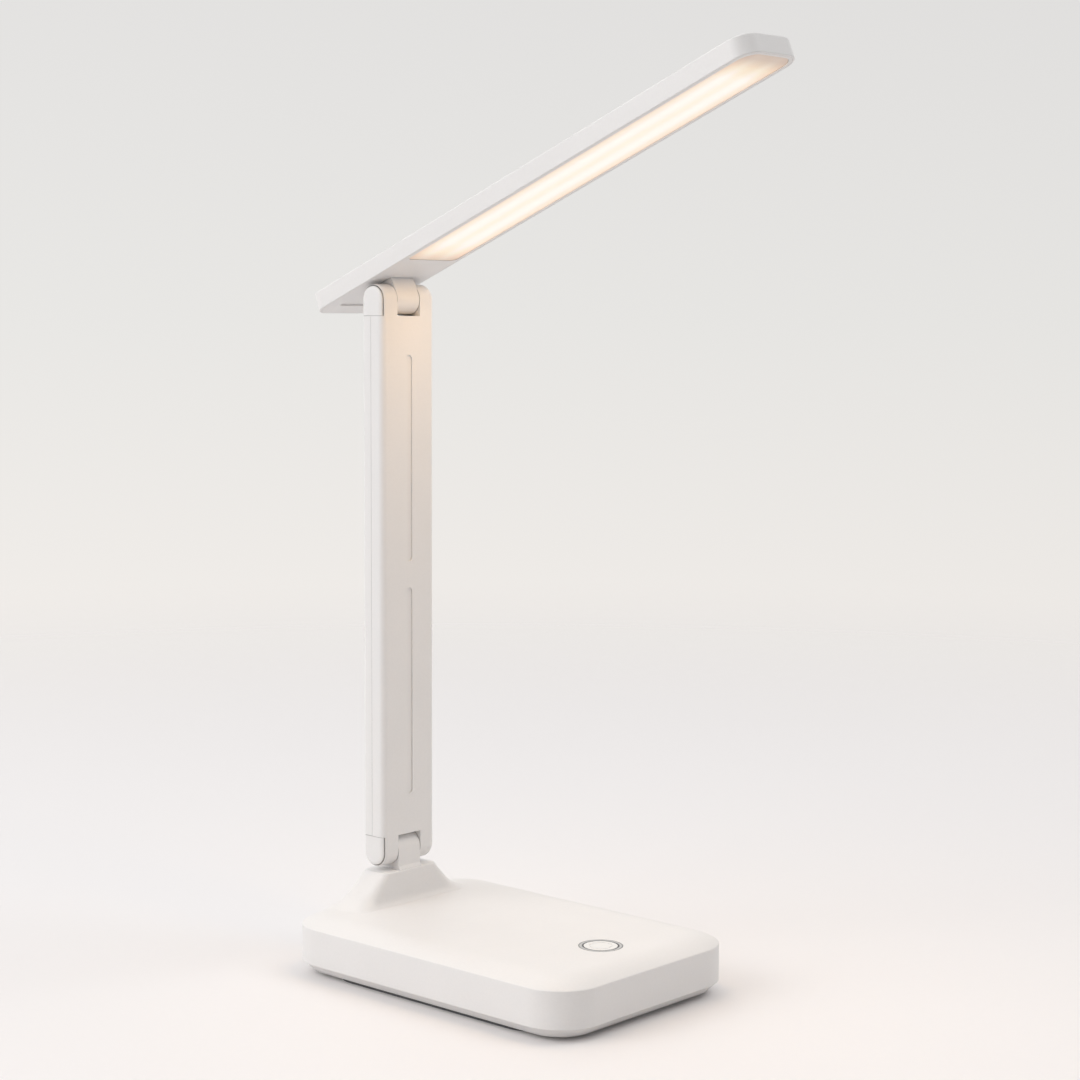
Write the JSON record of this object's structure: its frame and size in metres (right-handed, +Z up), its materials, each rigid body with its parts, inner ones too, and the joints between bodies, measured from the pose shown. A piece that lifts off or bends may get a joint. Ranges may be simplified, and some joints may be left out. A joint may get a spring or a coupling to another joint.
{
  "type": "folding led desk lamp",
  "caption": "Folding desk lamp with a flat rounded base, an upright arm hinged at the base, and a slim light bar hinged at its top.",
  "frame": {"origin": "middle of the anti-slip pad's underside, where the lamp rests", "axes": "+Z up, +X from the hinge end of the base to the button end, +Y to the left seen from behind the hinge"},
  "size_m": [0.237, 0.1086, 0.382],
  "materials": {
    "casing_white": "fine matt",
    "pad_rubber": "matt",
    "screw_steel": "zinc plated",
    "plate_steel": "plain",
    "cell_foil": "foil",
    "foam_pad": "closed foam",
    "board_green": "solder mask",
    "component_black": "moulded",
    "socket_steel": "bright",
    "spring_brass": "rolled",
    "ring_silver": "satin silver",
    "button_white": "satin",
    "lead_jacket": "smooth jacket",
    "bush_brass": "turned",
    "washer_nylon": "nylon",
    "stiffener_aluminium": "mill",
    "diffuser_opal": "opal, lit warm white",
    "reflector_white": "white film",
    "led_board_white": "white solder mask",
    "tape_grey": "thermal tape",
    "led_yellow": "phosphor"
  },
  "bodies": {
    "base": {"anti_slip_pad": "pad_rubber", "base_bottom_cover": "casing_white", "base_top_shell": "casing_white", "cover_screws": "screw_steel", "counterweight_plate": "plate_steel", "counterweight_screws": "screw_steel", "battery_cell": "cell_foil", "battery_pad": "foam_pad", "control_board": "board_green", "board_components": "component_black", "control_board_screws": "screw_steel", "charging_board": "board_green", "charging_board_screws": "screw_steel", "charging_socket": "socket_steel", "touch_contact_spring": "spring_brass", "touch_button_ring": "ring_silver", "touch_button": "button_white", "base_lead": "lead_jacket", "charging_lead": "lead_jacket", "battery_lead": "lead_jacket", "base_knuckle": "casing_white", "knuckle_screws": "screw_steel", "lower_hinge_bush": "bush_brass", "lower_friction_washers": "washer_nylon"},
    "arm": {"lower_hinge_shaft": "screw_steel", "lower_spring_washer": "screw_steel", "lower_hinge_nut": "screw_steel", "lower_hinge_caps": "casing_white", "arm_front_shell": "casing_white", "arm_rear_shell": "casing_white", "arm_stiffener": "stiffener_aluminium", "arm_screws": "screw_steel", "arm_lead": "lead_jacket", "upper_hinge_caps": "casing_white", "upper_hinge_shaft": "screw_steel", "upper_spring_washer": "screw_steel", "upper_hinge_nut": "screw_steel"},
    "head": {"upper_hinge_bush": "bush_brass", "upper_friction_washers": "washer_nylon", "head_knuckle": "casing_white", "head_knuckle_screws": "screw_steel", "head_top_shell": "casing_white", "head_lower_frame": "casing_white", "light_diffuser": "diffuser_opal", "reflector_tray": "reflector_white", "led_board": "led_board_white", "led_board_tape": "tape_grey", "led_chips": "led_yellow", "head_lead": "lead_jacket"}
  },
  "joints": [
    {"name": "arm_fold", "type": "hinge", "parent": "base", "child": "arm", "pos_m": [-0.06518, 0, 0.04729], "axis": [0, 1, 0], "range_deg": [-15, 90]},
    {"name": "head_tilt", "type": "hinge", "parent": "arm", "child": "head", "pos_m": [-0.06518, 0, 0.28549], "axis": [0, 1, 0], "range_deg": [-67.86, 112.14]}
  ]
}
